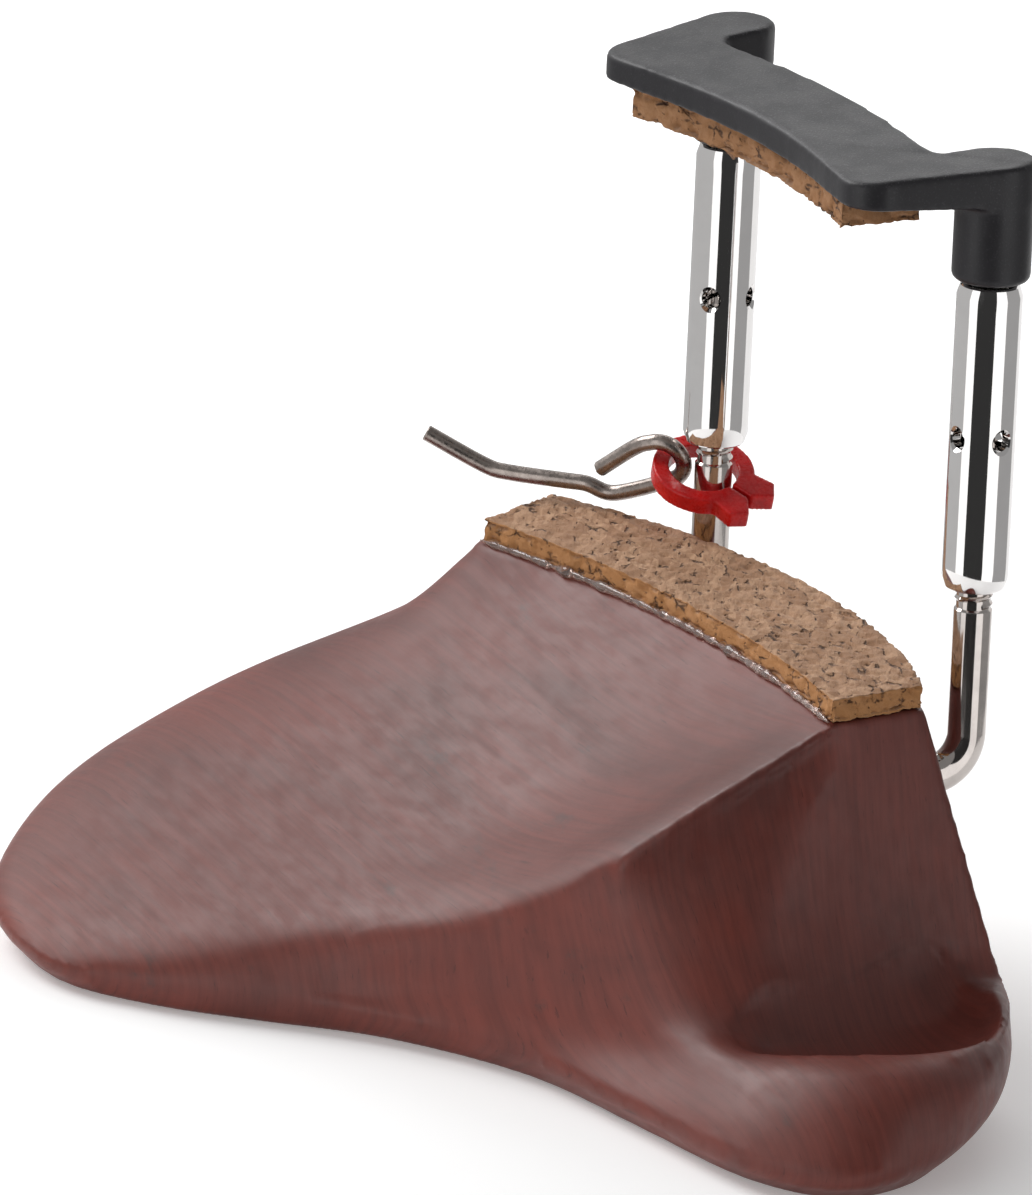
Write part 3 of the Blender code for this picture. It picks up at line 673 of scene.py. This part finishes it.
def stud(side, material):
    low, high = (corner.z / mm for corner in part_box("bracket_stud_" + side))
    core, ease = threadLook["core"], studLook["endEase"]
    profile = [(0, low), (core - ease, low), (core, low + ease)]
    profile += [(core, high - ease), (core - ease, high), (0, high)]
    bm = spun(profile, posts[side], studLook["segments"])
    addThread(bm, posts[side], low, high)
    bmesh.ops.recalc_face_normals(bm, faces=bm.faces)
    newPiece(side + "Stud", bm, "clamp", "steel", material, "bracket_stud_" + side,
             smoothAngle=studLook["smoothAngle"])


keyLook = {"voxel": 0.10, "smoothFaces": 10, "smoothEdges": 3, "edgeZone": 0.18, "edgeAngle": 50}
clipLook = {"voxel": 0.11, "smoothFaces": 8, "smoothEdges": 4, "edgeZone": 0.25, "edgeAngle": 35}


def keyAndClip(keySteel):
    key = refined(mergedCopy("tightening_key"), keyLook)
    newPiece("tighteningKey", key, "key", "key_steel", keySteel, "tightening_key")
    clip = refined(mergedCopy("key_clip"), clipLook)
    newPiece("keyClip", clip, "clip", "red_plastic", redPlastic(), "key_clip")


print("metals")
metals = {name: polishedMetal(name, **look) for name, look in metalFinish.items()}
print("wood plate")
woodPlate()
print("corks")
# the last number is painted shade: the bar cork is a copy painted 0.3 of the way to the dark colour, and the
# foot cork gets none
corkPad("footCorkPad", "foot_cork", "rest", corkOf("footCorkLook", 0.75, 0.0), False, 3.7)
corkPad("barCorkPad", "bracket_cork", "clamp", corkOf("barCorkLook", 0.55, 0.3), True, 11.2)
glueBead()
print("clamp bar")
clampBar()
print("barrels, rods and studs")
for side in posts:
    barrel(side, metals["chrome"])
    hookRod(side, metals["rodChrome"])
    stud(side, metals["threadSteel"])
print("key and clip")
keyAndClip(metals["keySteel"])


studio = {
    "target": (2.54, -24.04, 3.92),  # the middle of the view, in millimetres
    "azimuth": 60.9,
    "elevation": 17.0,
    "lean": 2.65,
    "distance": 1500,
    "viewHeight": 92.64,
    "sensor": 36,
    "clip": (0.05, 20),  # metres
    "tentCentre": (0, -4),
    "tentWall": ((95, -30.5), (170, 110)),  # radius and height of the wall's lower and upper rim
    "wallSteps": 12,
    # light walls seen only in reflections: from and to, in degrees from the camera's side, and brightness
    "walls": ((-29, 30, 0.035), (30, 62, 1.3), (62, 118, 0.36), (118, 172, 0.95), (172, 298, 0.5),
              (298, 331, 1.3)),
    # name, place and size in metres, and power
    "softboxes": (("upperLeft", (-0.62, -0.30, 0.52), 0.55, 6.5), ("back", (-0.75, 0.35, 0.35), 0.6, 3.2),
                  ("low", (0.25, -0.75, 0.10), 0.5, 1.5)),
    "aim": (0, -0.015, -0.01),
    "floorRadius": 4.0,
    "floor": {"Base_Color": rgb(0.9, 0.9, 0.9), "Roughness": 0.9, "Specular_IOR_Level": 0.1,
              "Emission_Color": rgb(1, 1, 1), "Emission_Strength": 0.22},
    "sky": 0.30,
}


def cameraAxes():
    a, e = math.radians(studio["azimuth"]), math.radians(studio["elevation"])
    right = Vector((math.cos(a), math.sin(a), 0))
    up = Vector((-math.sin(a) * math.sin(e), math.cos(a) * math.sin(e), math.cos(e)))
    return right, up, right.cross(up)


def camera():
    right, up, back = cameraAxes()
    lean = math.radians(studio["lean"])
    leftRight = right * math.cos(lean) + up * math.sin(lean)
    upDown = up * math.cos(lean) - right * math.sin(lean)
    made = linked("camera", bpy.data.cameras.new("camera"))
    made.matrix_world = Matrix((leftRight, upDown, back)).transposed().to_4x4()
    made.location = (Vector(studio["target"]) + back * studio["distance"]) * mm
    made.data.sensor_width = studio["sensor"]
    made.data.lens = studio["sensor"] * studio["distance"] / studio["viewHeight"]
    made.data.clip_start, made.data.clip_end = studio["clip"]
    bpy.context.scene.camera = made


def glowing(name, brightness):
    made = bpy.data.materials.new(name)
    made.use_nodes = True
    tree = made.node_tree
    tree.nodes.clear()
    glow = add(tree, "Emission", {"Color": rgb(1, 1, 1), "Strength": brightness})
    out = add(tree, "OutputMaterial")
    tree.links.new(glow.outputs[0], out.inputs[0])
    return made


def tent():
    back = cameraAxes()[2]
    facing = math.atan2(back.y, back.x)
    x, y = (value * mm for value in studio["tentCentre"])
    for i, (start, end, brightness) in enumerate(studio["walls"]):
        bm = bmesh.new()
        rim = [bm.verts.new((radius * mm, 0, height * mm)) for radius, height in studio["tentWall"]]
        edge = bm.edges.new(rim)
        bmesh.ops.rotate(bm, verts=rim, cent=(0, 0, 0),
                         matrix=Matrix.Rotation(facing + math.radians(start), 3, "Z"))
        bmesh.ops.spin(bm, geom=rim + [edge], cent=(0, 0, 0), axis=(0, 0, 1), angle=math.radians(end - start),
                       steps=studio["wallSteps"])
        bmesh.ops.translate(bm, verts=bm.verts, vec=(x, y, 0))
        wall = linkedMesh(f"tentWall{i}", bm)
        wall.data.materials.append(glowing(f"tentWall{i}", brightness))
        wall.visible_camera = wall.visible_diffuse = wall.visible_shadow = wall.visible_transmission = False


def floor():
    bm = bmesh.new()
    bmesh.ops.create_circle(bm, cap_ends=True, segments=96, radius=studio["floorRadius"])
    made = linkedMesh("floor", bm)
    made.location.z = cadBounds[0].z
    made.data.materials.append(finish("floor", **studio["floor"])[0])


def softbox(name, place, size, power):
    data = bpy.data.lights.new(name, "AREA")
    data.shape, data.size, data.energy = "SQUARE", size, power
    made = linked(name, data)
    made.location = place
    made.rotation_euler = (Vector(studio["aim"]) - made.location).to_track_quat("-Z", "Y").to_euler()
    made.visible_camera = False


def sky():
    world = bpy.data.worlds.new("sky")
    bpy.context.scene.world = world
    world.use_nodes = True
    world.node_tree.nodes["Background"].inputs["Color"].default_value = rgb(1, 1, 1)
    world.node_tree.nodes["Background"].inputs["Strength"].default_value = studio["sky"]


print("studio")
camera()
tent()
floor()
sky()
for values in studio["softboxes"]:
    softbox(*values)
bpy.context.scene.view_settings.view_transform = "Standard"
